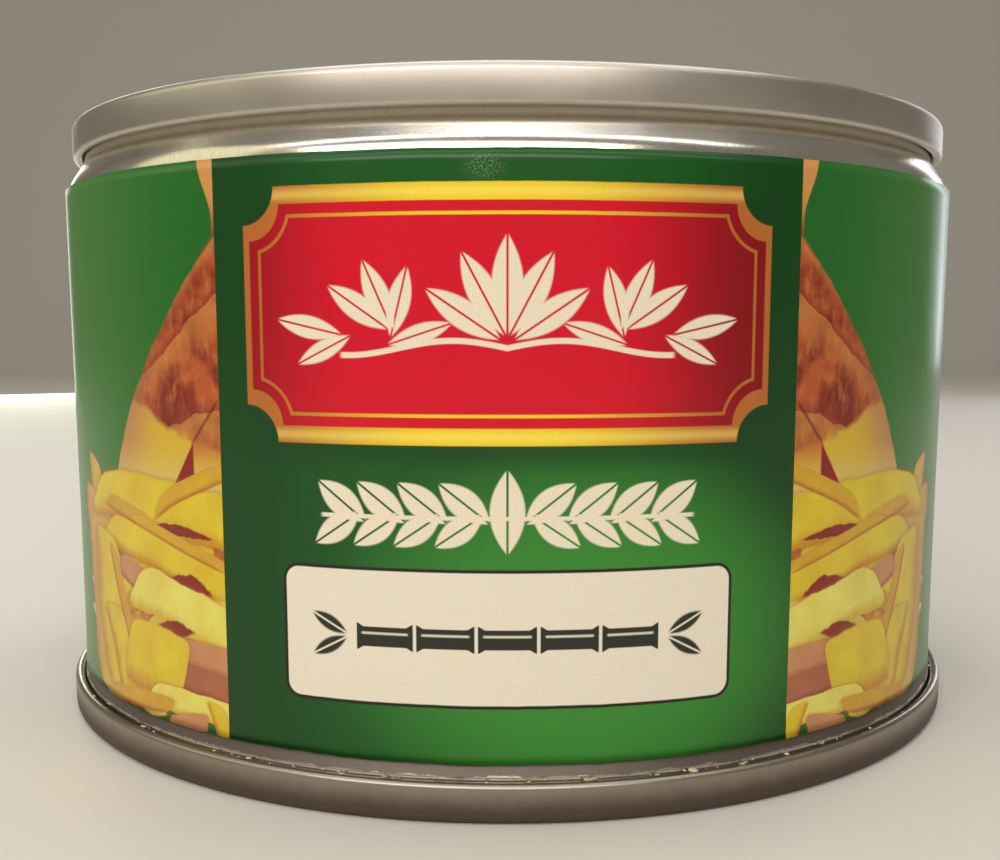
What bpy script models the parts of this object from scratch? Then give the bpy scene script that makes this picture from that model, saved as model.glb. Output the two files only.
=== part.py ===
"""A squat food can: a welded tinplate body necked in at the top, two double-seamed ends,
a glued paper label, and sliced bamboo shoots inside.

Metres, +Z up. The origin is the middle of the ring that the can stands on, and the label's
front faces -Y, so the body's weld and the label's lap are at +Y.
"""

import math
import random

import bmesh
import bpy
from mathutils import Vector

# Driving dimensions, in millimetres
CAN_HEIGHT = 52.8
BODY_R = 41.7  # outside of the straight wall
TOP_SEAM_R = 41.25  # the necked end's seam nests in the other end's recess when cans are stacked
BOTTOM_SEAM_R = 43.1
SHEET = 0.2  # tinplate
LAYER_GAP = 0.12  # between neighbouring sheets of a double seam
SEAM_HEIGHT = 3.0
COUNTERSINK = 4.2  # from the seam's rim down to the lowest point of the end
PANEL_DEPTH = 3.6  # from the rim down to the end's flat panel
BEAD_HEIGHT = 0.6  # how far the expansion beads stand out of the panel
NECK_START = 47.3  # where the straight wall ends
NECK_END = 49.4
FLARE_END = 4.0  # where the wall above the bottom seam is straight again
LABEL_LOW, LABEL_HIGH = 4.1, 46.9
LABEL_R = 42.0  # outside of the label
PAPER = 0.14
GLUE = 0.06
LAP_GAP = 0.16  # between the label's plies where it laps over its start, with the glue inside
SLICE_LAYERS = 13
SLICE_THICKNESS = 2.85
SLICE_PITCH = 3.2
SLICE_LOW = 4.9  # underside of the lowest layer
# One layer's slices: length, width, chambers cut open, cut side's distance from the axis, and turn
LAYER = ((70, 23.5, 5, -11.8, 0), (62, 22, 4, 12.6, 0), (62, 22, 4, 12.6, math.pi))
SEGMENTS = 40  # round the can
STEP = math.tau / SEGMENTS

PITCH = SHEET + LAYER_GAP  # from one sheet of a seam to the next
RIM_RADIUS = 0.4  # corner of the rim, on the sheet's middle line
FOLD_TO_RIM = 0.5  # from the rim's outside to the top of the body's hook, with the compound between


def collection_cleared():
    for thing in list(bpy.data.objects):
        bpy.data.objects.remove(thing, do_unlink=True)
    return bpy.context.scene.collection


def material(name, colour, roughness, metallic=0.0):
    made = bpy.data.materials.new(name)
    made.use_nodes = True
    shader = made.node_tree.nodes["Principled BSDF"]
    shader.inputs["Base Color"].default_value = (*colour, 1.0)
    shader.inputs["Roughness"].default_value = roughness
    shader.inputs["Metallic"].default_value = metallic
    return made


def arc(centre, radius, start, end, steps):
    """Points on an arc, from angle start to end in degrees, where 0 points outwards and 90 into the can."""
    found = []
    for i in range(steps + 1):
        angle = math.radians(start + (end - start) * i / steps)
        found.append((centre[0] + radius * math.cos(angle), centre[1] + radius * math.sin(angle)))
    return found


def sheet_outline(line, thickness):
    """The closed outline of a sheet whose middle follows line, mitred at each corner."""
    points = [Vector(p) for p in line]
    sides = []
    for i, point in enumerate(points):
        before = (point - points[i - 1]).normalized() if i else None
        after = (points[i + 1] - point).normalized() if i + 1 < len(points) else None
        before, after = before or after, after or before
        along = (before + after).normalized()
        reach = thickness / 2 / along.dot(before)
        sides.append(Vector((-along.y, along.x)) * reach)
    left = [p + s for p, s in zip(points, sides)]
    right = [p - s for p, s in zip(points, sides)]
    return left + right[::-1]


def seam_layers(seam_r):
    """Radii of the seam's five sheets: seaming wall, body hook, cover hook, body wall, chuck wall."""
    return [seam_r - SHEET / 2 - PITCH * i for i in range(5)]


def body_hook(seam_r):
    """The body's edge as (radius, depth below the rim): its hook's tip, its fold, and its wall."""
    _, hook, middle, wall, _ = seam_layers(seam_r)
    fold = FOLD_TO_RIM + SHEET / 2 + PITCH
    return [(hook, SEAM_HEIGHT - 0.55)] + arc((middle, fold), PITCH, 0, -180, 3) + [(wall, SEAM_HEIGHT)]


def end_line(seam_r, taper):
    """An end's middle line as (radius, depth below the rim), from its hook's tip to the axis."""
    outer, hook, tip, _, chuck = seam_layers(seam_r)
    fold = SEAM_HEIGHT - SHEET / 2 - PITCH
    rim = RIM_RADIUS + SHEET / 2
    well_radius = 0.55
    well_depth = COUNTERSINK + SHEET / 2 - well_radius
    well_r = chuck - taper - well_radius
    panel = PANEL_DEPTH + SHEET / 2
    bead = panel - BEAD_HEIGHT
    line = [(tip, 1.05)]
    line += arc((hook, fold), PITCH, 180, 0, 3)
    line += arc((outer - RIM_RADIUS, rim), RIM_RADIUS, 0, -90, 2)
    line += arc((chuck + RIM_RADIUS, rim), RIM_RADIUS, -90, -180, 2)
    line += [(chuck, 1.6)]
    line += arc((well_r, well_depth), well_radius, 0, 140, 3)
    for inward, depth in ((1.0, panel), (3.5, panel), (4.1, bead), (6.5, bead), (7.1, panel)):
        line.append((well_r - inward, depth))
    for inward, depth in ((10.5, panel), (11.1, bead), (well_r, bead)):
        line.append((well_r - inward, depth))
    return line


def turned(name, outline, look):
    """A closed (radius, height) outline in millimetres, turned round +Z. Points on the axis become poles."""
    bm = bmesh.new()
    verts = [bm.verts.new((r / 1000, 0, z / 1000)) for r, z in outline]
    for a, b in zip(verts, verts[1:] + verts[:1]):
        if a.co.x > 1e-9 or b.co.x > 1e-9:
            bm.edges.new((a, b))
    bmesh.ops.spin(
        bm, geom=bm.verts[:] + bm.edges[:], cent=(0, 0, 0), axis=(0, 0, 1), angle=math.tau,
        steps=SEGMENTS, use_merge=True,
    )
    bmesh.ops.remove_doubles(bm, verts=bm.verts[:], dist=1e-7)
    return finished(name, bm, look, smooth=True)


def extruded(name, outline, low, high, look, smooth=False):
    """A closed (x, y) outline in millimetres, raised from height low to high."""
    bm = bmesh.new()
    base = bm.faces.new([bm.verts.new((x / 1000, y / 1000, low / 1000)) for x, y in outline])
    raised = bmesh.ops.extrude_face_region(bm, geom=[base])
    tops = [v for v in raised["geom"] if isinstance(v, bmesh.types.BMVert)]
    bmesh.ops.translate(bm, verts=tops, vec=(0, 0, (high - low) / 1000))
    return finished(name, bm, look, smooth)


def finished(name, bm, look, smooth):
    bmesh.ops.recalc_face_normals(bm, faces=bm.faces[:])
    mesh = bpy.data.meshes.new(name)
    bm.to_mesh(mesh)
    bm.free()
    mesh.materials.append(look)
    if smooth:
        mesh.shade_smooth()
        mesh.set_sharp_from_angle(angle=math.radians(40))
    made = bpy.data.objects.new(name, mesh)
    made.parent = food_can
    scene.objects.link(made)
    return made


def make_body(look):
    top = [(r, CAN_HEIGHT - depth) for r, depth in body_hook(TOP_SEAM_R)]
    bottom = body_hook(BOTTOM_SEAM_R)
    straight = BODY_R - SHEET / 2
    neck_r = top[-1][0]
    shoulder = (straight - (straight - neck_r) * 0.25, NECK_START + (NECK_END - NECK_START) * 0.35)
    waist = (neck_r + (straight - neck_r) * 0.2, NECK_START + (NECK_END - NECK_START) * 0.75)
    wall = [(straight, FLARE_END), (straight, NECK_START), shoulder, waist, (neck_r, NECK_END)]
    turned("can_body", sheet_outline(bottom + wall + top[::-1], SHEET), look)


def make_ends(look):
    """The bottom end's chuck wall leans in more, because its seam stands further out than the wall."""
    above = [(r, CAN_HEIGHT - depth) for r, depth in end_line(TOP_SEAM_R, 0.15)]
    turned("top_end", sheet_outline(above, SHEET), look)
    turned("bottom_end", sheet_outline(end_line(BOTTOM_SEAM_R, 0.52), SHEET), look)


def make_compound(look):
    """The sealing rings lie between the rim's inside and the body's hook."""
    low, high, reach = SHEET + 0.07, FOLD_TO_RIM - 0.1, 0.25
    for name, seam_r, base, side in (
        ("top_sealing_compound", TOP_SEAM_R, CAN_HEIGHT, -1),
        ("bottom_sealing_compound", BOTTOM_SEAM_R, 0, 1),
    ):
        middle = seam_layers(seam_r)[2]
        ring = [(middle - reach, low), (middle + reach, low), (middle + reach, high), (middle - reach, high)]
        turned(name, [(r, base + side * depth) for r, depth in ring], look)


def around(stations, thickness):
    """The (x, y) outline of a bent strip through stations of (angle in steps, middle radius)."""
    def ring(side):
        return [
            ((r + side * thickness / 2) * math.cos(n * STEP), (r + side * thickness / 2) * math.sin(n * STEP))
            for n, r in stations
        ]
    return ring(1) + ring(-1)[::-1]


def make_label(paper, glue):
    """The label starts just before the back, goes once round and laps over its own start."""
    start = SEGMENTS // 4 - 1
    lap_steps = 2
    ply_r = LABEL_R - PAPER / 2
    lap_r = ply_r + PAPER + LAP_GAP
    under = [(start + i, ply_r) for i in range(SEGMENTS)]
    over = [(start + SEGMENTS + i, lap_r) for i in range(lap_steps + 1)]
    extruded("paper_label", around(under + over, PAPER), LABEL_LOW, LABEL_HIGH, paper, smooth=True)
    lap_glue_r = (ply_r + lap_r) / 2
    pickup_r = (BODY_R + LABEL_R - PAPER) / 2
    for name, first, radius in (("lap_glue", start + 1, lap_glue_r), ("pickup_glue", start, pickup_r)):
        strip = [(first, radius), (first + 1, radius)]
        extruded(name, around(strip, GLUE), LABEL_LOW + 1.5, LABEL_HIGH - 1.5, glue)


def comb_side(half_length, chambers, depth, width):
    """The cut inner side of a slice, from -X to +X: slots where the shoot's hollow chambers were."""
    side = []
    for i in range(chambers):
        middle = half_length * (-0.62 + 1.24 * i / (chambers - 1))
        reach = depth * (1 - 0.35 * abs(middle) / half_length)
        side += [(middle - width / 2, 0), (middle - width / 2 * 0.7, reach)]
        side += [(middle + width / 2 * 0.7, reach), (middle + width / 2, 0)]
    return side


def slice_outline(length, width, chambers):
    """A lengthwise half slice: a bowed outer side and a comb-like inner side at y = 0."""
    half = length / 2
    bow_points = 8
    bow = []
    for i in range(bow_points + 1):
        angle = math.pi * i / bow_points
        bow.append((half * math.cos(angle), width * math.sin(angle) ** 0.8))
    return bow + comb_side(half, chambers, width * 0.3, length * 0.07)


def make_slices(look):
    """Each layer holds a long slice across the middle and a shorter one on each side of it."""
    chance = random.Random(7)
    number = 0
    for layer in range(SLICE_LAYERS):
        low = SLICE_LOW + layer * SLICE_PITCH
        turn = chance.uniform(0, math.tau)
        for length, width, chambers, offset, flip in LAYER:
            number += 1
            size = chance.uniform(0.9, 1.0)
            outline = [(x * size, y * size + offset) for x, y in slice_outline(length, width, chambers)]
            made = extruded(f"bamboo_slice_{number:02d}", outline, 0, SLICE_THICKNESS, look)
            made.location.z = low / 1000
            made.rotation_euler.z = turn + flip


scene = collection_cleared()
food_can = bpy.data.objects.new("food_can", None)
scene.objects.link(food_can)
tinplate = material("tinplate", (0.60, 0.58, 0.54), 0.28, 1.0)
make_body(tinplate)
make_ends(tinplate)
make_compound(material("sealing_compound", (0.55, 0.50, 0.42), 0.7))
make_label(material("label_paper", (0.05, 0.20, 0.04), 0.3), material("label_glue", (0.75, 0.65, 0.42), 0.5))
make_slices(material("bamboo_flesh", (0.80, 0.68, 0.38), 0.45))
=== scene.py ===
"""Finish of a squat food can: tin-coated steel body and ends, a printed and varnished paper label,
and the glue, sealing compound and bamboo slices that the construction model holds.

Sizes are in millimetres until a mesh is made. Angles round the can start at its front, -Y, and grow
towards +X.
"""

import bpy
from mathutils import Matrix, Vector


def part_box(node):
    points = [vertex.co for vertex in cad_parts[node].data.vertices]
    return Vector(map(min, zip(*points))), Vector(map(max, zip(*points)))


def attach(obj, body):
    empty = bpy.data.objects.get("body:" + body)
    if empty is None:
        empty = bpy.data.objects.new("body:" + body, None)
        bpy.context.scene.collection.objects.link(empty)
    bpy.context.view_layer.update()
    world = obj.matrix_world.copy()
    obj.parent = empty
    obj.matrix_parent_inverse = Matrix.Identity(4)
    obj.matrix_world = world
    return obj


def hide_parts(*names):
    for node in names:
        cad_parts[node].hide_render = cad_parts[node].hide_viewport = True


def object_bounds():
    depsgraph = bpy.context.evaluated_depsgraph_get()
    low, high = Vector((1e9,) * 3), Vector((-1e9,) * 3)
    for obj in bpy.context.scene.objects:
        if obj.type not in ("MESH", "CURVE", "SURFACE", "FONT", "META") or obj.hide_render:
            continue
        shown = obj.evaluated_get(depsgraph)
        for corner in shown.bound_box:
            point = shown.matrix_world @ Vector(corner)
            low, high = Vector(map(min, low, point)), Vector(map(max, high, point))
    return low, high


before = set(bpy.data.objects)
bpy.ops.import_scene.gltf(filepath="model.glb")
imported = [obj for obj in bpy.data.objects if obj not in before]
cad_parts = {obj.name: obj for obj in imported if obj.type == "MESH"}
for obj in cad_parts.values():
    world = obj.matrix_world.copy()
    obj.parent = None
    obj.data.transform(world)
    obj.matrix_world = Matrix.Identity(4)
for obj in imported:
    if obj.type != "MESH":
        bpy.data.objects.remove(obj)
cad_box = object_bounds()

import ast
import math
import random

import bmesh
import bpy
from mathutils import Matrix, Vector, noise

MM = 0.001
CAN_HEIGHT = (cad_box[1][2] - cad_box[0][2]) / MM
BOTTOM_SEAM_R = cad_box[1][0] / MM
TOP_SEAM_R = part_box("top_end")[1][0] / MM
LABEL_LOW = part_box("paper_label")[0][2] / MM
LABEL_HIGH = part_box("paper_label")[1][2] / MM
LABEL_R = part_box("paper_label")[1][0] / MM
BODY_R = 41.7  # outside of the straight wall
SHEET = 0.2  # tinplate
PITCH = 0.32  # from one sheet of a double seam to the next
SEAM_HEIGHT = 3.0
NECK_START, NECK_END = 47.3, 49.4
PAPER = 0.11  # label sheet
FOLD_FILLET = PITCH * 0.98  # almost half the width of a seam's fold, so that the fold is round
WELD_WIDTH, WELD_PROUD = 0.9, 0.06
SEGMENTS = 256  # round the can

PANEL_ANGLE = 30.15  # half of the label's front panel, in degrees
COLUMNS_IN_HALF_PANEL = 34
COLUMN = PANEL_ANGLE / COLUMNS_IN_HALF_PANEL
COLUMNS_TO_BACK = 78  # from the front to where the pictures end
HALF_COLUMNS = 213  # of the label's grid, each side of its front: once round and a little over
ROWS = 56
PANEL_EDGE = LABEL_R * math.radians(PANEL_ANGLE)
LAP_ANGLE = 171.0  # where the label's last end has climbed clear of its first edge
CLIMB_ANGLE = 7.0  # the turn it takes to climb
CORE = 3  # the label's material slot for bare paper


# Shapes

def linear(code):
    """An sRGB hex colour as the linear values that sockets take."""
    channels = [int(code[i:i + 2], 16) / 255 for i in (1, 3, 5)]
    return (*[c / 12.92 if c <= 0.04045 else ((c + 0.055) / 1.055) ** 2.4 for c in channels], 1.0)


def rounded(corners, steps=5):
    """A line through corners of (radius, height, fillet), with an arc of that fillet at each inner corner."""
    points = [Vector(corners[0][:2])]
    for before, corner, after in zip(corners, corners[1:], corners[2:]):
        here, fillet = Vector(corner[:2]), corner[2]
        to_before = (Vector(before[:2]) - here).normalized()
        to_after = (Vector(after[:2]) - here).normalized()
        half = to_before.angle(to_after) / 2
        if fillet <= 0 or half > math.radians(89.5):
            points.append(here)
            continue
        middle = here + (to_before + to_after).normalized() * (fillet / math.sin(half))
        start = here + to_before * (fillet / math.tan(half)) - middle
        sweep = math.pi - 2 * half
        turn = math.copysign(sweep, to_before.x * to_after.y - to_before.y * to_after.x)
        for i in range(steps + 1):
            points.append(middle + Matrix.Rotation(-turn * i / steps, 2) @ start)
    points.append(Vector(corners[-1][:2]))
    return points


def sheet_outline(points, thickness=SHEET):
    """The closed outline of a sheet whose middle follows points."""
    sides = []
    for i, point in enumerate(points):
        before = (point - points[i - 1]).normalized() if i else None
        after = (points[i + 1] - point).normalized() if i + 1 < len(points) else None
        before, after = before or after, after or before
        along = (before + after).normalized()
        sides.append(Vector((-along.y, along.x)) * (thickness / 2 / along.dot(before)))
    left = [p + s for p, s in zip(points, sides)]
    return left + [p - s for p, s in zip(points, sides)][::-1]


def piece(name, bm, looks, smooth_angle=40):
    """Makes an object of a mesh in millimetres, which rides on the can."""
    bmesh.ops.remove_doubles(bm, verts=bm.verts[:], dist=1e-4)
    bmesh.ops.recalc_face_normals(bm, faces=bm.faces[:])
    bmesh.ops.scale(bm, verts=bm.verts[:], vec=(MM, MM, MM))
    mesh = bpy.data.meshes.new(name)
    bm.to_mesh(mesh)
    bm.free()
    for look in looks:
        mesh.materials.append(look)
    mesh.shade_smooth()
    mesh.set_sharp_from_angle(angle=math.radians(smooth_angle))
    made = bpy.data.objects.new(name, mesh)
    bpy.context.scene.collection.objects.link(made)
    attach(made, "root")
    return made


def turned(outline):
    """A closed (radius, height) outline turned round the can's axis."""
    bm = bmesh.new()
    verts = [bm.verts.new((0, -r, z)) for r, z in outline]
    for a, b in zip(verts, verts[1:] + verts[:1]):
        if a.co.y < -1e-6 or b.co.y < -1e-6:
            bm.edges.new((a, b))
    bmesh.ops.spin(
        bm, geom=bm.verts[:] + bm.edges[:], cent=(0, 0, 0), axis=(0, 0, 1), angle=math.tau,
        steps=SEGMENTS, use_merge=True,
    )
    bmesh.ops.remove_doubles(bm, verts=bm.verts[:], dist=1e-4)
    return bm


def wobbled(bm, amount, grain):
    """Moves each point in or out a little, smoothly and at random: handled sheet is never quite round."""
    for vert in bm.verts:
        flat = Vector((vert.co.x, vert.co.y, 0))
        if flat.length > 1:
            push = noise.noise(vert.co / grain + Vector((3.1, 7.7, 1.9)))
            vert.co += flat.normalized() * (amount * push)


def dented(bm, angle, height, reach, depth):
    """Presses the sheet in around one point of the outside."""
    turn = math.radians(angle)
    outward = Vector((math.sin(turn), -math.cos(turn), 0))
    for vert in bm.verts:
        flat = Vector((vert.co.x, vert.co.y, 0))
        place = outward * flat.length + Vector((0, 0, height))
        off = (vert.co - place).length / reach
        if off < 1:
            vert.co -= outward * (depth * (1 - off * off) ** 2)


def seam_layers(seam_r):
    """Radii of a seam's sheets: seaming wall, body hook, cover hook, body wall, chuck wall."""
    return [seam_r - SHEET / 2 - PITCH * i for i in range(5)]


def body_hook(seam_r):
    """The body's edge as (radius, depth below the rim, fillet), up to where the wall begins."""
    _, hook, _, wall, _ = seam_layers(seam_r)
    fold = 0.5 + SHEET / 2
    return [(hook, 2.45, 0), (hook, fold, FOLD_FILLET), (wall, fold, FOLD_FILLET)]


def end_line(seam_r, taper):
    """An end's middle line as (radius, depth below the rim, fillet), from its hook's tip to the axis."""
    outer, _, tip, _, chuck = seam_layers(seam_r)
    fold, rim = SEAM_HEIGHT - SHEET / 2, SHEET / 2
    well_r, well, panel, bead = chuck - taper, 4.3, 3.7, 3.1
    line = [(tip, 1.05, 0), (tip, fold, FOLD_FILLET), (outer, fold, FOLD_FILLET)]
    line += [(outer, rim, 0.55), (chuck, rim, 0.45), (chuck, 1.5, 1.5), (well_r, well, 0.5)]
    line += [(well_r - 1.15, well, 0.45), (well_r - 1.75, panel, 0.6)]
    for inward, depth in ((3.9, panel), (4.7, bead), (6.9, bead), (7.7, panel), (10.8, panel), (11.6, bead)):
        line.append((well_r - inward, depth, 0.7))
    return line + [(0, bead, 0)]


def flipped(line, base):
    return [(r, base - depth, fillet) for r, depth, fillet in line]


# Materials

OPERATORS = {ast.Add: "ADD", ast.Sub: "SUBTRACT", ast.Mult: "MULTIPLY", ast.Div: "DIVIDE", ast.Pow: "POWER"}
FUNCTIONS = {
    "abs": "ABSOLUTE", "min": "MINIMUM", "max": "MAXIMUM", "sqrt": "SQRT", "sin": "SINE", "fract": "FRACT",
}


def add(tree, kind, *values, output=0, into=(), **settings):
    """Adds a shader node. Values go to its inputs in order, where None leaves one alone, and into gives
    (input's name, value) pairs. The rest are the node's own properties."""
    made = tree.nodes.new("ShaderNode" + kind)
    for key, value in settings.items():
        setattr(made, key, value)
    pairs = [(socket, value) for socket, value in zip(made.inputs, values) if value is not None]
    for socket, value in pairs + [(made.inputs[key], value) for key, value in into]:
        if isinstance(value, bpy.types.NodeSocket):
            tree.links.new(value, socket)
        else:
            socket.default_value = value
    return made.outputs[output]


def formula(tree, text, **named):
    """Turns a line of arithmetic into nodes. ramp(x, a, b) runs smoothly from 0 at a to 1 at b."""
    def build(part):
        if isinstance(part, ast.Constant):
            return part.value
        if isinstance(part, ast.Name):
            return named[part.id]
        if isinstance(part, ast.UnaryOp):  # a minus sign
            return -part.operand.value
        if isinstance(part, ast.BinOp):
            terms, operation = (part.left, part.right), OPERATORS[type(part.op)]
        elif part.func.id == "ramp":
            numbers = [build(term) for term in part.args]
            return add(tree, "MapRange", *numbers, interpolation_type="SMOOTHSTEP")
        else:
            terms, operation = part.args, FUNCTIONS[part.func.id]
        return add(tree, "Math", *[build(term) for term in terms], operation=operation)
    return build(ast.parse(text).body[0].value)


def material(name):
    """A new material as (material, tree, shader)."""
    made = bpy.data.materials.new(name)
    made.use_nodes = True
    return made, made.node_tree, made.node_tree.nodes["Principled BSDF"]


def wire(tree, shader, pairs):
    for key, value in pairs.items():
        if isinstance(value, bpy.types.NodeSocket):
            tree.links.new(value, shader.inputs[key])
        else:
            shader.inputs[key].default_value = value


def millimetres(tree):
    """The piece's own coordinates in millimetres, as a vector and its three parts."""
    place = add(tree, "TexCoord", output=3)
    scaled = add(tree, "VectorMath", place, operation="SCALE", into=[("Scale", 1 / MM)])
    parts = tree.nodes.new("ShaderNodeSeparateXYZ")
    tree.links.new(scaled, parts.inputs[0])
    return scaled, *parts.outputs


def tinplate(name, streaks, colour="#d8d2c6", smooth=0.17, rough=0.34, relief=0.12, darkened_heights=None):
    """Electrolytic tinplate, bright and slightly yellow. The rolled grain and the tooling leave fine streaks
    that lie along one direction. streaks is how many times a millimetre the pattern turns over in X, Y, Z.
    From the first of the two given heights to the second, on its lower half and outside a radius of about 40
    mm, the colour is painted darker brown and made less metallic: painted shade towards the floor on the
    base, and a darker band under the label's lower edge on the wall."""
    made, tree, shader = material(name)
    place, x, y, z = millimetres(tree)
    stretched = add(tree, "VectorMath", place, streaks, operation="MULTIPLY")
    tooled = add(tree, "TexNoise", stretched, None, 1.0, 4.0, 0.65)
    # on flat faces the sheet's own rolled grain shows instead, as lines 0.15 mm apart along Y
    along_roll = add(tree, "VectorMath", place, (7.0, 0.16, 1.0), operation="MULTIPLY")
    rolled = add(tree, "TexNoise", along_roll, None, 1.0, 3.0, 0.6)
    facing = tree.nodes.new("ShaderNodeSeparateXYZ")
    tree.links.new(add(tree, "TexCoord", output=1), facing.inputs[0])
    streak = formula(
        tree, "tooled + (rolled - tooled) * ramp(abs(up), 0.9, 0.98)",
        tooled=tooled, rolled=rolled, up=facing.outputs[2],
    )
    cloud = add(tree, "TexNoise", place, None, 0.11, 3.0, 0.6)  # handling haze, about 9 mm across
    smudge = add(tree, "TexNoise", place, None, 0.45, 5.0, 0.7)  # fingerprints and dust, 2 mm
    specks = add(tree, "TexNoise", place, None, 3.2, 2.0, 0.5)
    haze = formula(tree, "ramp(cloud, 0.35, 0.75)", cloud=cloud)
    dirt = formula(
        tree, "ramp(smudge, 0.6, 0.78) * 0.6 + ramp(specks, 0.7, 0.76) * 0.8", smudge=smudge, specks=specks,
    )
    roughness = formula(
        tree, "low + (high - low) * (streak * 0.6 + haze * 0.4) + dirt * 0.15",
        low=smooth, high=rough, streak=streak, haze=haze, dirt=dirt,
    )
    dulled = formula(tree, "ramp(streak, 0.35, 0.75) * 0.25", streak=streak)
    tone = add(tree, "MixRGB", dulled, linear(colour), linear("#a89f8f"))
    tone = add(tree, "MixRGB", formula(tree, "min(dirt, 1.0) * 0.35", dirt=dirt), tone, linear("#6b5a45"))
    metal = 1.0
    if darkened_heights is not None:
        clean, dirty = darkened_heights
        # painted darkening, dark brown and less metallic: painted shade towards the floor on the base, a
        # darker band just under the label's lower edge on the wall
        stain = formula(
            tree, "ramp(z + (smudge - 0.5) * 0.8, clean, dirty) * ramp(z, 30.0, 20.0)"
            " * ramp(sqrt(x * x + y * y), 38.0, 41.0)",
            x=x, y=y, z=z, smudge=smudge, clean=clean, dirty=dirty,
        )
        tone = add(tree, "MixRGB", formula(tree, "stain * 0.88", stain=stain), tone, linear("#402e26"))
        roughness = formula(tree, "roughness + stain * 0.25", roughness=roughness, stain=stain)
        metal = formula(tree, "1.0 - stain * 0.5", stain=stain)
    height = formula(tree, "streak * 0.7 + cloud * 2.0", streak=streak, cloud=cloud)
    bump = add(tree, "Bump", relief, 0.02 * MM, into=[("Height", height)])
    wire(tree, shader, {"Base Color": tone, "Metallic": metal, "Roughness": roughness, "Normal": bump})
    return made


def plain_finish(name, light, dark, grain, roughness, bump_height):
    """A mottled non-metal: two tones mixed by a pattern of this grain in millimetres."""
    made, tree, shader = material(name)
    place, _, _, _ = millimetres(tree)
    pattern = add(tree, "TexNoise", place, None, 1 / grain, 4.0, 0.6)
    tone = add(tree, "MixRGB", formula(tree, "ramp(p, 0.3, 0.7)", p=pattern), linear(dark), linear(light))
    gloss = formula(tree, "low + p * 0.2", low=roughness - 0.1, p=pattern)
    bump = add(tree, "Bump", 0.3, bump_height * MM, into=[("Height", pattern)])
    wire(tree, shader, {"Base Color": tone, "Roughness": gloss, "Normal": bump})
    return made


def printed_sheet(name, artwork):
    """Coated label paper, offset printed and gloss varnished. artwork(tree, place, u, v) gives its colour:
    u is millimetres round the can from the front, and v millimetres up from the label's lower edge. The
    print has a fine screen, and the varnish lies almost flat over the paper's fibres."""
    made, tree, shader = material(name)
    place = add(tree, "Attribute", output=1, attribute_name="sheet_mm")
    parts = tree.nodes.new("ShaderNodeSeparateXYZ")
    tree.links.new(place, parts.inputs[0])
    u, v = parts.outputs[0], parts.outputs[1]
    colour = artwork(tree, place, u, v)
    # the screen's dots are 0.21 mm apart, on a diagonal
    screen = formula(tree, "sin((u + v) * 21.2) * sin((u - v) * 21.2)", u=u, v=v)
    grain = add(tree, "TexNoise", place, None, 5.0, 2.0, 0.6)
    inked = formula(tree, "1.0 + screen * 0.11 + (grain - 0.5) * 0.16", screen=screen, grain=grain)
    grey = add(tree, "CombineColor", inked, inked, inked)
    colour = add(tree, "MixRGB", 1.0, colour, grey, blend_type="MULTIPLY")
    cloud = add(tree, "TexNoise", place, None, 0.16, 3.0, 0.55)
    scuff = add(tree, "TexNoise", place, None, 1.3, 5.0, 0.75)
    wear = formula(tree, "ramp(scuff, 0.62, 0.8)", scuff=scuff)
    roughness = formula(tree, "0.27 + cloud * 0.1 + wear * 0.2", cloud=cloud, wear=wear)
    height = formula(tree, "cloud * 3.0 + grain * 0.12", cloud=cloud, grain=grain)
    bump = add(tree, "Bump", 0.25, 0.03 * MM, into=[("Height", height)])
    wire(tree, shader, {
        "Base Color": colour, "Roughness": roughness, "Normal": bump, "IOR": 1.5,
        "Specular IOR Level": 0.3, "Coat Weight": 0.12, "Coat Roughness": 0.12,
    })
    return made


# The label's print. Every figure is in millimetres on the flat sheet.

EDGE = 0.05  # softness of a printed edge
CREAM = "#e6dcc4"


def local(tree, place, at, turn, size):
    """The print's coordinates as seen from a shape at this place and turn, in units of its half sizes."""
    moved = add(
        tree, "Mapping", place, (*at, 0), (0, 0, math.radians(turn)), (*size, 1), vector_type="TEXTURE",
    )
    parts = tree.nodes.new("ShaderNodeSeparateXYZ")
    tree.links.new(moved, parts.inputs[0])
    return parts.outputs[0], parts.outputs[1]


def leaves(tree, place, rows):
    """The joint mask of pointed leaves, each given as (u, v, turn, half length, half width)."""
    mask = None
    for u, v, turn, length, width in rows:
        x, y = local(tree, place, (u, v), turn, (length, width))
        soft = EDGE * 2 / width
        leaf = formula(
            tree, "ramp(abs(y) + x * x - (x + 1.0) * 0.12, 0.95 + soft, 0.95 - soft)"
            " * ramp(abs(y), 0.03, 0.03 + soft)",
            x=x, y=y, soft=soft,
        )
        mask = leaf if mask is None else formula(tree, "max(a, b)", a=mask, b=leaf)
    return mask


def mirrored(tree, u, v):
    """The print's coordinates with u folded, so that both halves match."""
    return add(tree, "CombineXYZ", formula(tree, "abs(u)", u=u), v, 0.0)


def green_ground(tree, u, v):
    """The front panel's ground: deep green at its edges, fresher towards its foot."""
    glow = formula(
        tree, "ramp(((u - 6.0) / 20.0) ** 2.0 + ((v - 9.0) / 15.0) ** 2.0, 1.1, 0.0)", u=u, v=v,
    )
    side = formula(tree, "ramp(abs(u), 21.0, 9.0)", u=u)
    ground = add(tree, "MixRGB", side, linear("#053f0d"), linear("#0f5217"))
    return add(tree, "MixRGB", formula(tree, "g * 0.9", g=glow), ground, linear("#388a2e"))


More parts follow.
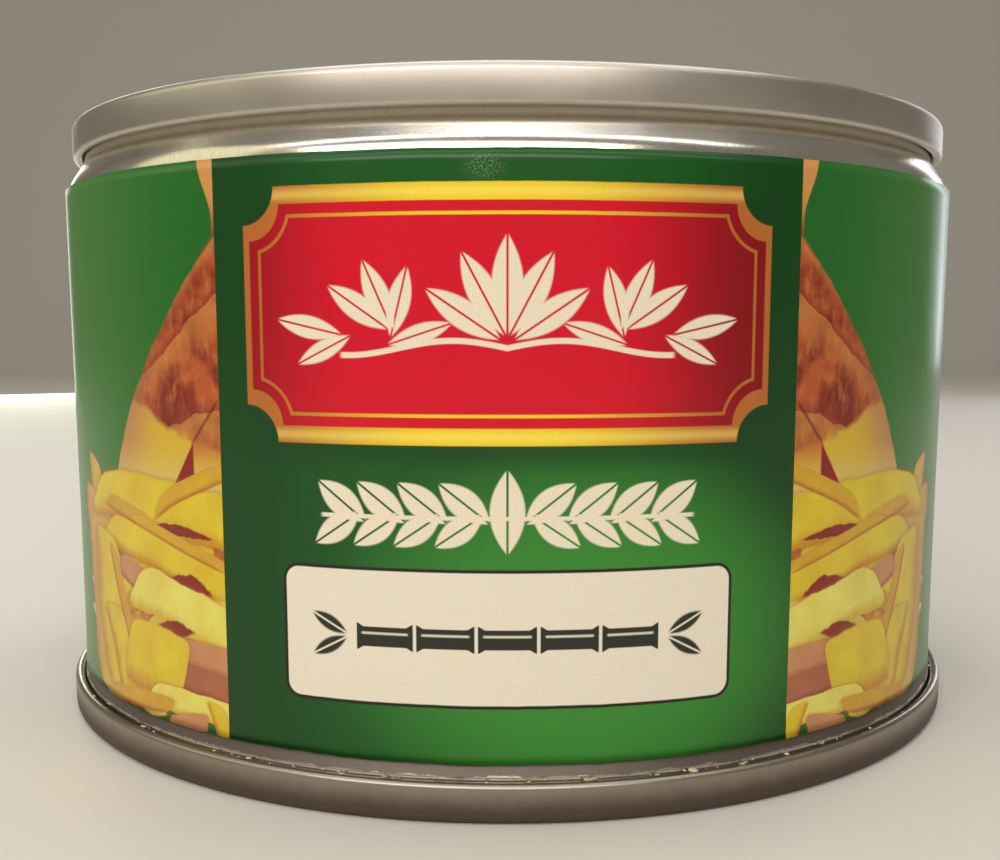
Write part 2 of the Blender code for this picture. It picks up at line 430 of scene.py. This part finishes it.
def front_panel(tree, place, u, v):
    """A red plaque with scooped corners and gold edges, a leaf garland and a cream box, without letters."""
    colour = green_ground(tree, u, v)
    folded = mirrored(tree, u, v)
    # plaque
    shape = (
        "max(max(abs(u) - w, abs(v - 31.7) - h),"
        " scoop - sqrt((abs(u) - w) ** 2.0 + (abs(v - 31.7) - h) ** 2.0))"
    )
    plaque = formula(tree, shape, u=u, v=v, w=19.4, h=8.9, scoop=2.6)
    field = formula(tree, shape, u=u, v=v, w=18.9, h=7.7, scoop=2.5)
    shadow = formula(
        tree, "ramp(max(abs(u - 0.7) - 19.4, abs(v - 30.7) - 8.9), 1.1, -0.5) * 0.6", u=u, v=v,
    )
    colour = add(tree, "MixRGB", shadow, colour, linear("#0a3a12"))
    sheen = formula(tree, "ramp(abs(u + 1.0), 17.5, 3.0)", u=u)
    across = formula(tree, "ramp(abs(abs(v - 31.7) - 8.3), 0.6, 0.0)", v=v)
    gold = add(tree, "MixRGB", sheen, linear("#b0662a"), linear("#eccb22"))
    gold = add(tree, "MixRGB", formula(tree, "a * 0.35", a=across), gold, linear("#fff27a"))
    colour = add(tree, "MixRGB", formula(tree, "ramp(p, e, 0.0 - e)", p=plaque, e=EDGE), colour, gold)
    depth = formula(tree, "ramp(abs(u + 2.0), 20.5, 8.0)", u=u)
    red = add(tree, "MixRGB", depth, linear("#82060f"), linear("#cf0526"))
    colour = add(tree, "MixRGB", formula(tree, "ramp(f, e, 0.0 - e)", f=field, e=EDGE), colour, red)
    keyline = formula(tree, "ramp(abs(f + 0.85), 0.16, 0.08)", f=field)
    colour = add(tree, "MixRGB", keyline, colour, gold)
    # spray of leaves on the plaque: a tall middle fan and two lower ones on a thin stem
    spray = [(0.0, 33.6, 90, 3.3, 1.0), (1.55, 33.0, 62, 3.1, 0.95), (2.9, 31.7, 34, 3.0, 0.9)]
    spray += [(8.9, 32.9, 66, 2.6, 0.8), (7.5, 32.5, 104, 2.4, 0.75), (10.3, 32.2, 34, 2.6, 0.8)]
    spray += [(5.9, 30.5, -18, 2.3, 0.62), (14.0, 30.9, 12, 2.5, 0.72), (12.9, 29.4, -26, 2.2, 0.62)]
    stem = formula(
        tree, "ramp(abs(v - 29.5 - sin(abs(u) * 0.42) * 0.5), 0.26, 0.14) * ramp(abs(u), 11.9, 11.5)",
        u=u, v=v,
    )
    cream = linear(CREAM)
    drawn = formula(tree, "max(a, b)", a=leaves(tree, folded, spray), b=stem)
    colour = add(tree, "MixRGB", drawn, colour, cream)
    # garland on the green
    garland = [(0.0, 18.0, 90, 2.9, 1.15)]
    for i in range(4):
        garland.append((2.9 + i * 2.95, 18.7, 38, 2.2, 0.95))
        garland.append((3.3 + i * 2.95, 16.9, -34, 2.0, 0.85))
    twig = formula(tree, "ramp(abs(v - 17.75), 0.2, 0.1) * ramp(abs(u), 13.6, 13.2)", u=u, v=v)
    drawn = formula(tree, "max(a, b)", a=leaves(tree, folded, garland), b=twig)
    colour = add(tree, "MixRGB", drawn, colour, cream)
    # box with a cane rule
    box = formula(
        tree, "sqrt(max(abs(u) - 15.4, 0.0) ** 2.0 + max(abs(v - 9.1) - 3.75, 0.0) ** 2.0) - 1.05", u=u, v=v,
    )
    colour = add(tree, "MixRGB", formula(tree, "ramp(b, 0.27, 0.17)", b=box), colour, linear("#1b1a12"))
    colour = add(tree, "MixRGB", formula(tree, "ramp(b, 0.03, -0.07)", b=box), colour, linear("#e4dcc9"))
    along = formula(tree, "(fract(u / 4.4 + 0.5) - 0.5) * 4.4", u=u)
    cane = formula(
        tree, "ramp(abs(v - 9.1) - 0.72 - 0.26 * ramp(abs(a), 1.5, 2.1), e, 0.0 - e)"
        " * ramp(abs(a), 2.12, 2.04) * ramp(abs(u), 11.1, 11.0)",
        u=u, v=v, a=along, e=EDGE,
    )
    shine = formula(tree, "ramp(abs(v - 9.35), 0.14, 0.04) * ramp(abs(a), 1.8, 1.6)", v=v, a=along)
    tips = [(12.9, 9.9, 28, 1.5, 0.5), (12.9, 8.3, -28, 1.5, 0.5)]
    ink = formula(
        tree, "max(cane * (1.0 - shine * 0.8), tips)",
        cane=cane, shine=shine, tips=leaves(tree, folded, tips),
    )
    colour = add(tree, "MixRGB", ink, colour, linear("#262a1e"))
    # rubbed spot near the upper edge, down to the paper in specks
    rub = add(tree, "TexNoise", place, None, 9.0, 1.0, 0.5)
    bare = formula(
        tree, "ramp(sqrt((u + 1.6) ** 2.0 + ((v - 41.6) * 1.6) ** 2.0), 1.9, 0.5)"
        " * ramp(r, 0.54, 0.62) * 0.35",
        u=u, v=v, r=rub,
    )
    return add(tree, "MixRGB", bare, colour, linear("#b9c8a0"))


def strip_rows():
    """The pile of cut strips, back to front, as (d, v, turn, half length, half width, bend, tone).
    d starts at the front panel's edge, and the tones are the keys of STRIP_TONES."""
    chance = random.Random(12)
    rows = [(18.2, 15.6, 84, 4.6, 1.5, 0.2, "warm")]
    for i in range(9):
        rows.append((
            chance.uniform(2.0, 15.0), 15.5 - i * 1.5, chance.uniform(-26, 30), chance.uniform(5.0, 8.5),
            chance.uniform(0.7, 1.5), chance.uniform(-0.5, 0.5),
            chance.choice(("fresh", "deep", "warm", "pale")),
        ))
    return rows + [
        (17.6, 8.6, 85, 8.6, 3.4, 0.15, "warm"), (7.2, 17.2, 4, 11.6, 2.1, 0.35, "fresh"),
        (3.4, 19.0, -22, 4.6, 0.7, 0.5, "deep"), (9.0, 15.6, 14, 6.8, 0.7, 0.5, "deep"),
        (4.6, 15.5, 4, 3.6, 0.42, 0.3, "gap"), (7.4, 13.4, 11, 8.8, 1.5, 0.3, "fresh"),
        (5.2, 14.6, 15, 6.2, 0.5, 0.3, "deep"), (3.6, 11.4, 10, 2.4, 0.75, 0.2, "gap"),
        (10.4, 10.9, 20, 3.6, 1.1, 0.1, "pink"), (16.2, 7.2, 78, 6.9, 2.9, -0.3, "fresh"),
        (13.4, 8.6, 66, 4.6, 0.7, -0.3, "deep"), (4.8, 9.5, 13, 6.6, 1.9, 0.35, "pale"),
        (6.0, 7.6, -6, 2.7, 0.7, 0.2, "gap"), (2.0, 5.9, 3, 4.4, 1.15, 0.2, "pink"),
        (2.2, 3.8, 7, 4.4, 1.1, 0.3, "brown"), (13.9, 4.2, 68, 4.2, 1.7, 0.2, "fresh"),
        (8.7, 4.7, 5, 4.2, 2.9, 0.05, "fresh"), (4.0, 1.9, 2, 5.4, 1.05, 0.2, "pale"),
        (11.5, 1.0, -4, 5.0, 0.75, 0.2, "deep"), (4.6, 0.2, -12, 2.4, 0.9, 0.2, "pink"),
        (0.5, 0.2, 72, 2.4, 0.8, 0.3, "fresh"),
    ]


STRIP_TONES = {
    "fresh": ("#bd831c", "#d8c42c"), "deep": ("#b06a1e", "#cda62a"), "warm": ("#bb8238", "#cfae48"),
    "pale": ("#c8a830", "#dfd868"), "pink": ("#a8603c", "#c48e60"), "brown": ("#8e4434", "#aa6848"),
    "gap": ("#701b18", "#86281c"),
}


def shoot_husk(tree, d, v, s, broad, fine):
    """The shoot's colour: a mottled russet husk, pared away below to the yellow flesh."""
    sheath = formula(tree, "fract(v * 0.115 + s * s * 0.8 + (b - 0.5) * 0.3 + 0.12)", v=v, s=s, b=broad)
    patches = formula(tree, "ramp(b, 0.38, 0.62)", b=broad)
    husk = add(tree, "MixRGB", patches, linear("#7e2416"), linear("#b2532a"))
    husk = add(tree, "MixRGB", formula(tree, "ramp(f, 0.45, 0.8) * 0.5", f=fine), husk, linear("#cc8a40"))
    husk = add(tree, "MixRGB", formula(tree, "ramp(q, 0.4, 1.0) * 0.45", q=sheath), husk, linear("#c88f48"))
    husk = add(tree, "MixRGB", formula(tree, "ramp(q, 0.2, 0.0) * 0.55", q=sheath), husk, linear("#7c2214"))
    husk = add(tree, "MixRGB", formula(tree, "ramp(s, 0.8, 1.0) * 0.4", s=s), husk, linear("#9a5a34"))
    # pared is where the flesh shows
    pared = formula(tree, "ramp(v - 22.6 - (d - 3.0) * 0.34 - (b - 0.5) * 3.0, 0.5, -0.4)", v=v, d=d, b=broad)
    core = formula(tree, "ramp(s, 1.0, 0.55)", s=s)
    flesh = add(tree, "MixRGB", core, linear("#b98450"), linear("#cfaa2c"))
    flesh = add(tree, "MixRGB", formula(tree, "ramp(v, 22.5, 18.5) * 0.65", v=v), flesh, linear("#cfc070"))
    near = formula(tree, "ramp(d, 3.2, 2.6) * ramp(v, 19.5, 23.5)", d=d, v=v)
    flesh = add(tree, "MixRGB", near, flesh, linear("#b4562a"))
    gap = formula(tree, "ramp(abs(d - 3.95 + (v - 19.0) * 0.34) - (22.4 - v) * 0.34, 0.12, -0.12)", d=d, v=v)
    flesh = add(tree, "MixRGB", gap, flesh, linear("#861a1e"))
    crease = formula(
        tree, "ramp(abs(d - 2.8 + (v - 22.4) * 0.84), 0.3, 0.0)"
        " * ramp(v, 22.0, 22.8) * ramp(v, 26.0, 25.0) * 0.8",
        d=d, v=v,
    )
    return add(tree, "MixRGB", crease, add(tree, "MixRGB", pared, husk, flesh), linear("#6d1a16"))


def shoot_picture(tree, place, u, v):
    """Half of a bamboo shoot in its husk, behind a pile of cut strips, cut off by the front panel's edge."""
    d = formula(tree, "abs(u) - edge", u=u, edge=PANEL_EDGE)
    flat = add(tree, "CombineXYZ", d, v, 0.0)
    broad = add(tree, "TexNoise", flat, None, 0.3, 3.0, 0.5)
    slanted = add(tree, "Mapping", flat, None, (0, 0, math.radians(24)), (1.3, 0.55, 1))
    fine = add(tree, "TexNoise", slanted, None, 1.0, 3.0, 0.55)
    # ground: lighter towards the can's sides and back
    colour = add(
        tree, "MixRGB", formula(tree, "ramp(d, 0.0, 24.0)", d=d), linear("#1d6420"), linear("#3f7a30"),
    )
    # the tall leaf tip beside the panel
    tip = formula(
        tree, "ramp(d - 0.25 - 1.25 * ramp(v, 38.6, 42.8), 0.06, -0.06) * ramp(v, 36.0, 36.4)", d=d, v=v,
    )
    tan = add(tree, "MixRGB", formula(tree, "ramp(v, 37.0, 40.5)", v=v), linear("#6b4a20"), linear("#c98f4e"))
    colour = add(tree, "MixRGB", tip, colour, tan)
    # the shoot
    width = formula(tree, "13.8 * (1.0 - max((v - 18.0) / 19.6, 0.0) ** 1.4)", v=v)
    inside = formula(
        tree, "ramp(d - w - (b - 0.5) * 0.8, 0.15, -0.15) * ramp(v, 37.8, 37.5)", d=d, w=width, b=broad, v=v,
    )
    s = formula(tree, "(d + 1.2) / (w + 1.2)", d=d, w=width)
    colour = add(tree, "MixRGB", inside, colour, shoot_husk(tree, d, v, s, broad, fine))
    # a dark leaf under the pile, then the inside of the pile
    leaf_x, leaf_y = local(tree, flat, (9.0, 0.2), 4, (11.5, 3.4))
    leaf = formula(tree, "ramp(y * y + x * x, 1.0, 0.93)", x=leaf_x, y=leaf_y)
    midrib = formula(tree, "ramp(abs(y), 0.0, 0.7)", y=leaf_y)
    leaf_tone = add(tree, "MixRGB", midrib, linear("#1f6a2c"), linear("#0c4420"))
    colour = add(tree, "MixRGB", leaf, colour, leaf_tone)
    heap_x, heap_y = local(tree, flat, (8.0, 9.2), 0, (12.6, 8.4))
    heap = formula(tree, "ramp(x ** 4.0 + y ** 4.0, 1.0, 0.9)", x=heap_x, y=heap_y)
    heap_tone = add(
        tree, "MixRGB", formula(tree, "ramp(b, 0.4, 0.6)", b=broad), linear("#a85a26"), linear("#cfa030"),
    )
    colour = add(tree, "MixRGB", heap, colour, heap_tone)
    for at_d, at_v, turn, length, half, bend, tone in strip_rows():
        x, y = local(tree, flat, (at_d, at_v), turn, (length, half))
        bent = formula(tree, "y + k * x * x + (b - 0.5) * 0.5", x=x, y=y, k=bend, b=broad)
        dark, light = STRIP_TONES[tone]
        if tone == "gap":
            reach = formula(tree, "abs(x) ** 1.5 + abs(y + f - 0.5) ** 1.3", x=x, y=bent, f=fine)
        else:
            reach = formula(tree, "abs(x + y * 0.16) ** 9.0 + abs(y) ** 4.0", x=x, y=bent)
            shade = formula(tree, "ramp(r, 2.2, 0.7) * 0.4", r=reach)
            colour = add(tree, "MixRGB", shade, colour, linear("#a2531f"))
        lit = formula(
            tree, "ramp(y + (f - 0.5) * 0.3, -1.0, -0.3) * (0.8 + (b - 0.5) * 1.1)", y=bent, f=fine, b=broad,
        )
        body = add(tree, "MixRGB", lit, linear(dark), linear(light))
        colour = add(tree, "MixRGB", formula(tree, "ramp(r, 1.14, 0.8)", r=reach), colour, body)
    return colour


def back_panel(tree, place, u, v):
    """Plain green with a cream block of empty ruled lines on each side of the lap."""
    d = formula(tree, "abs(u) - 97.0", u=u)
    colour = add(
        tree, "MixRGB", formula(tree, "ramp(abs(u), 60.0, 125.0)", u=u), linear("#3f7a30"), linear("#1d6420"),
    )
    block = formula(
        tree, "sqrt(max(abs(d) - 15.5, 0.0) ** 2.0 + max(abs(v - 21.4) - 15.6, 0.0) ** 2.0) - 1.0", d=d, v=v,
    )
    filled = formula(tree, "ramp(b, e, 0.0 - e)", b=block, e=EDGE)
    colour = add(tree, "MixRGB", filled, colour, linear("#e9e0c6"))
    frame_line = formula(tree, "ramp(abs(b + 0.8), 0.14, 0.07)", b=block)
    rule = formula(
        tree, "ramp(abs(fract(v / 3.1) - 0.5), 0.035, 0.02)"
        " * ramp(abs(d), 13.6, 13.5) * ramp(abs(v - 21.4), 13.3, 13.2)",
        d=d, v=v,
    )
    return add(tree, "MixRGB", formula(tree, "max(a, b)", a=frame_line, b=rule), colour, linear("#1d5a24"))


# Pieces

def on_can(angle, radius, height):
    turn = math.radians(angle)
    return Vector((radius * math.sin(turn), -radius * math.cos(turn), height))


def make_label(front, picture, back, core):
    """One sheet wrapped round the body from behind, its last edge glued over its first. The sheet is not
    perfectly tight, and its lower edge is a little lifted and uneven."""
    bm = bmesh.new()
    bmesh.ops.create_grid(bm, x_segments=2 * HALF_COLUMNS, y_segments=ROWS, size=1.0)
    middle_r = LABEL_R - PAPER / 2
    sheet_mm = bm.verts.layers.float_vector.new("sheet_mm")
    for face in bm.faces:
        column = abs(face.calc_center_median().x) * HALF_COLUMNS
        face.material_index = 0 if column < COLUMNS_IN_HALF_PANEL else (1 if column < COLUMNS_TO_BACK else 2)
        face.smooth = True
    for vert in bm.verts:
        angle = vert.co.x * HALF_COLUMNS * COLUMN
        up = (vert.co.y + 1) / 2
        height = LABEL_HIGH - LABEL_LOW
        vert[sheet_mm] = Vector((math.radians(angle) * LABEL_R, up * height, 0))
        around = on_can(angle, 1, 0)
        slack = noise.noise(Vector((around.x * 3.2, around.y * 3.2, up * 1.6)))
        ripple = noise.noise(Vector((around.x * 9, around.y * 9, up * 2.5 + 5)))
        lift = max(0.0, 1 - up / 0.06) ** 2 * (0.5 + noise.noise(around * 6.0))
        climb = min(1.0, max(0.0, (angle - LAP_ANGLE + CLIMB_ANGLE) / CLIMB_ANGLE))
        radius = middle_r + 0.05 * slack + 0.018 * ripple + 0.08 * lift + climb * (PAPER + 0.12)
        ragged = noise.noise(around * 40.0) * 0.05 + noise.noise(around * 9.0) * 0.05
        trim = (1 - up) ** 12 * ragged * 1.6 + up ** 12 * ragged * 0.6
        vert.co = on_can(angle, radius, LABEL_LOW + up * height + trim)
    for vert in bm.verts:
        vert.co *= MM
    mesh = bpy.data.meshes.new("label_sheet")
    bm.to_mesh(mesh)
    bm.free()
    for look in (front, picture, back, core):
        mesh.materials.append(look)
    made = bpy.data.objects.new("label_sheet", mesh)
    bpy.context.scene.collection.objects.link(made)
    wall = made.modifiers.new("paper", "SOLIDIFY")
    wall.thickness = PAPER * MM
    wall.offset = 0
    wall.material_offset = CORE
    wall.material_offset_rim = CORE
    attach(made, "root")
    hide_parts("paper_label")


def make_body(look):
    """The welded cylinder: necked in under the top seam, and flared a little into the bottom one."""
    straight = BODY_R - SHEET / 2
    neck_r = seam_layers(TOP_SEAM_R)[3]
    low_r = seam_layers(BOTTOM_SEAM_R)[3]
    line = body_hook(BOTTOM_SEAM_R) + [(low_r, 3.1, 0.6), (straight, 4.0, 1.2)]
    line += [(straight, NECK_START, 2.2), (neck_r, NECK_END, 1.1)]
    line += flipped(body_hook(TOP_SEAM_R)[::-1], CAN_HEIGHT)
    bm = turned(sheet_outline(rounded(line)))
    wobbled(bm, 0.03, 17)
    made = piece("can_wall", bm, [look])
    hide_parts("can_body")


def make_end(name, node, line, dents, look):
    bm = turned(sheet_outline(rounded(line)))
    wobbled(bm, 0.025, 19)
    for dent in dents:
        dented(bm, *dent)
    made = piece(name, bm, [look])
    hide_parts(node)


def make_weld(look):
    """The body's lap weld, a little proud of the wall, behind the label at the back."""
    straight = BODY_R + 0.01
    neck_r = seam_layers(TOP_SEAM_R)[3] + SHEET / 2 + 0.01
    inner = rounded([
        (straight, LABEL_LOW, 0), (straight, NECK_START, 2.0), (neck_r, NECK_END, 1.3), (neck_r, 49.7, 0),
    ])
    outline = inner + [p + Vector((WELD_PROUD, 0)) for p in inner][::-1]
    width_angle = math.degrees(WELD_WIDTH / BODY_R)
    bm = bmesh.new()
    face = bm.faces.new([bm.verts.new(on_can(180 - width_angle / 2, r, z)) for r, z in outline])
    bmesh.ops.spin(
        bm, geom=[face], cent=(0, 0, 0), axis=(0, 0, 1), angle=math.radians(width_angle), steps=4,
    )
    made = piece("side_weld", bm, [look], 60)


def make_crumbs(look):
    """Paper fibre and dried glue that has gathered on the ledge of the bottom seam."""
    chance = random.Random(31)
    bm = bmesh.new()
    for _ in range(120):
        angle = chance.gauss(4, 40) if chance.random() < 0.6 else chance.uniform(-180, 180)
        size = chance.uniform(0.04, 0.12) * (2.4 if chance.random() < 0.12 else 1)
        made = bmesh.ops.create_icosphere(bm, subdivisions=1, radius=size)
        stretch = (chance.uniform(0.6, 2.6), chance.uniform(0.5, 1.1), chance.uniform(0.35, 0.9))
        bmesh.ops.scale(bm, verts=made["verts"], vec=stretch)
        for vert in made["verts"]:
            vert.co *= chance.uniform(0.7, 1.3)
        turn = Matrix.Rotation(math.radians(angle + chance.uniform(-35, 35)), 3, "Z")
        bmesh.ops.rotate(bm, verts=made["verts"], matrix=turn)
        radius = chance.uniform(BODY_R + 0.15, BOTTOM_SEAM_R - 0.45)
        height = SEAM_HEIGHT + 0.02 + size * 0.3
        bmesh.ops.translate(bm, verts=made["verts"], vec=on_can(angle, radius, height))
    made = piece("ledge_crumbs", bm, [look], 80)


def dress_nodes(looks):
    """Gives each construction node that stays its finish."""
    for name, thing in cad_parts.items():
        for kind, look in looks.items():
            if kind in name:
                thing.material_slots[0].material = look


# Studio

def make_studio():
    """A pale floor that curves up into a backdrop, soft lights, and the camera in front of the can."""
    bm = bmesh.new()
    reach, back, bend = 1.6, 0.75, 0.35
    line = [Vector((0, -1.5, 0)), Vector((0, back, 0))]
    for i in range(1, 13):
        angle = math.radians(90 * i / 12)
        line.append(Vector((0, back + bend * math.sin(angle), bend * (1 - math.cos(angle)))))
    line.append(Vector((0, back + bend, 2.0)))
    verts = [bm.verts.new(p + Vector((-reach, 0, 0))) for p in line]
    edges = [bm.edges.new(pair) for pair in zip(verts, verts[1:])]
    raised = bmesh.ops.extrude_edge_only(bm, edges=edges)["geom"]
    far = [v for v in raised if isinstance(v, bmesh.types.BMVert)]
    bmesh.ops.translate(bm, verts=far, vec=(2 * reach, 0, 0))
    bmesh.ops.recalc_face_normals(bm, faces=bm.faces[:])
    mesh = bpy.data.meshes.new("studio_floor")
    bm.to_mesh(mesh)
    bm.free()
    mesh.shade_smooth()
    floor_look, tree, shader = material("matt_backdrop")
    wire(tree, shader, {"Base Color": linear("#cfcbc3"), "Roughness": 0.75})
    mesh.materials.append(floor_look)
    floor = bpy.data.objects.new("studio_floor", mesh)
    bpy.context.scene.collection.objects.link(floor)

    world = bpy.data.worlds.new("studio")
    world.use_nodes = True
    background = world.node_tree.nodes["Background"]
    background.inputs[0].default_value = linear("#b4aea4")
    background.inputs[1].default_value = 0.5
    bpy.context.scene.world = world

    lamps = (
        ("over_front", (-0.12, -0.62, 0.44), (1.00, 0.26), 4.0, "#fff7ee"),
        ("high_strip", (0.0, -0.26, 0.62), (1.20, 0.10), 1.3, "#ffffff"),
        ("left_high", (-0.52, -0.06, 0.34), (0.40, 0.30), 0.4, "#f6f0c8"),
        ("left_back", (-0.24, 0.46, 0.16), (0.10, 0.36), 0.45, "#eef6e4"),
        ("right_back", (0.34, 0.40, 0.16), (0.06, 0.30), 0.25, "#f2f6ff"),
        ("above", (0.0, 0.12, 0.60), (0.70, 0.30), 1.6, "#ffffff"),
    )
    for name, place, size, watts, tint in lamps:
        light = bpy.data.lights.new(name, "AREA")
        light.shape = "RECTANGLE"
        light.size, light.size_y = size
        light.energy = watts
        light.color = linear(tint)[:3]
        lamp = bpy.data.objects.new(name, light)
        lamp.location = place
        lamp.visible_camera = False
        lamp.rotation_euler = (Vector((0, 0, 0.025)) - Vector(place)).to_track_quat("-Z", "Y").to_euler()
        bpy.context.scene.collection.objects.link(lamp)

    lens = bpy.data.cameras.new("camera")
    lens.sensor_width = 36.0
    lens.lens = 43.3
    lens.shift_x, lens.shift_y = -0.0075, 0.0565
    lens.clip_start = 0.005
    camera = bpy.data.objects.new("camera", lens)
    camera.location = (0, -0.1243, 0.0351)
    camera.rotation_euler = (math.radians(90 - 7.6), 0, 0)
    bpy.context.scene.collection.objects.link(camera)
    bpy.context.scene.camera = camera
    bpy.context.scene.view_settings.view_transform = "Standard"


make_studio()
# rolled tinplate: almost mirror bright, with fine upright streaks, and painted darker in a band just under
# the label's lower edge
wall_look = tinplate(
    "rolled_tinplate_wall", (5.5, 5.5, 0.35), smooth=0.13, rough=0.27, relief=0.3,
    darkened_heights=(LABEL_LOW - 1.05, LABEL_LOW - 0.8),
)
# tinplate that seaming rolls have pressed: satin, with lines round the can. The base's copy is given a darker
# tone as painted shade, and is painted darker still towards the floor as painted shade
top_look = tinplate("seamed_tinplate_top", (0.35, 0.35, 9.0), "#c3bcb2", smooth=0.3, rough=0.46)
base_look = tinplate(
    "seamed_tinplate_base_shaded", (0.35, 0.35, 9.0), "#a2988c", smooth=0.26, rough=0.42, darkened_heights=(3.1, 0.8),
)
make_body(wall_look)
# resistance weld: a half matt skin of grey oxide with dark flecks
make_weld(plain_finish("oxidised_weld", "#7d7a78", "#3b3a3c", 0.4, 0.45, 0.02))
nick = (-64, 52.7, 1.1, 0.1)  # a small knock in the upper seam's edge: angle, height, reach, depth
make_end("top_lid", "top_end", flipped(end_line(TOP_SEAM_R, 0.15), CAN_HEIGHT), [nick], top_look)
make_end("base_lid", "bottom_end", end_line(BOTTOM_SEAM_R, 0.52), [], base_look)
make_label(
    printed_sheet("varnished_print_front", front_panel),
    printed_sheet("varnished_print_pictures", shoot_picture),
    printed_sheet("varnished_print_back", back_panel),
    # the paper's uncoated side and cut edge: matt, off-white fibre
    plain_finish("bare_label_paper", "#efece2", "#d8d2c2", 0.15, 0.8, 0.02),
)
# torn fibre with dried glue: pale, dull crumbs, buff in places
make_crumbs(plain_finish("paper_and_glue_crumbs", "#ddd2b4", "#b09870", 0.4, 0.6, 0.05))
# sealing rubber is matt and buff, dried glue is amber and half glossy, and boiled bamboo is pale yellow and
# looks moist
dress_nodes({
    "compound": plain_finish("sealing_compound", "#b9ad98", "#8f8472", 0.5, 0.7, 0.02),
    "glue": plain_finish("dried_label_glue", "#c9a95e", "#9a7a3c", 0.8, 0.4, 0.03),
    "slice": plain_finish("boiled_bamboo", "#e6cf86", "#c9a24c", 0.9, 0.45, 0.08),
})
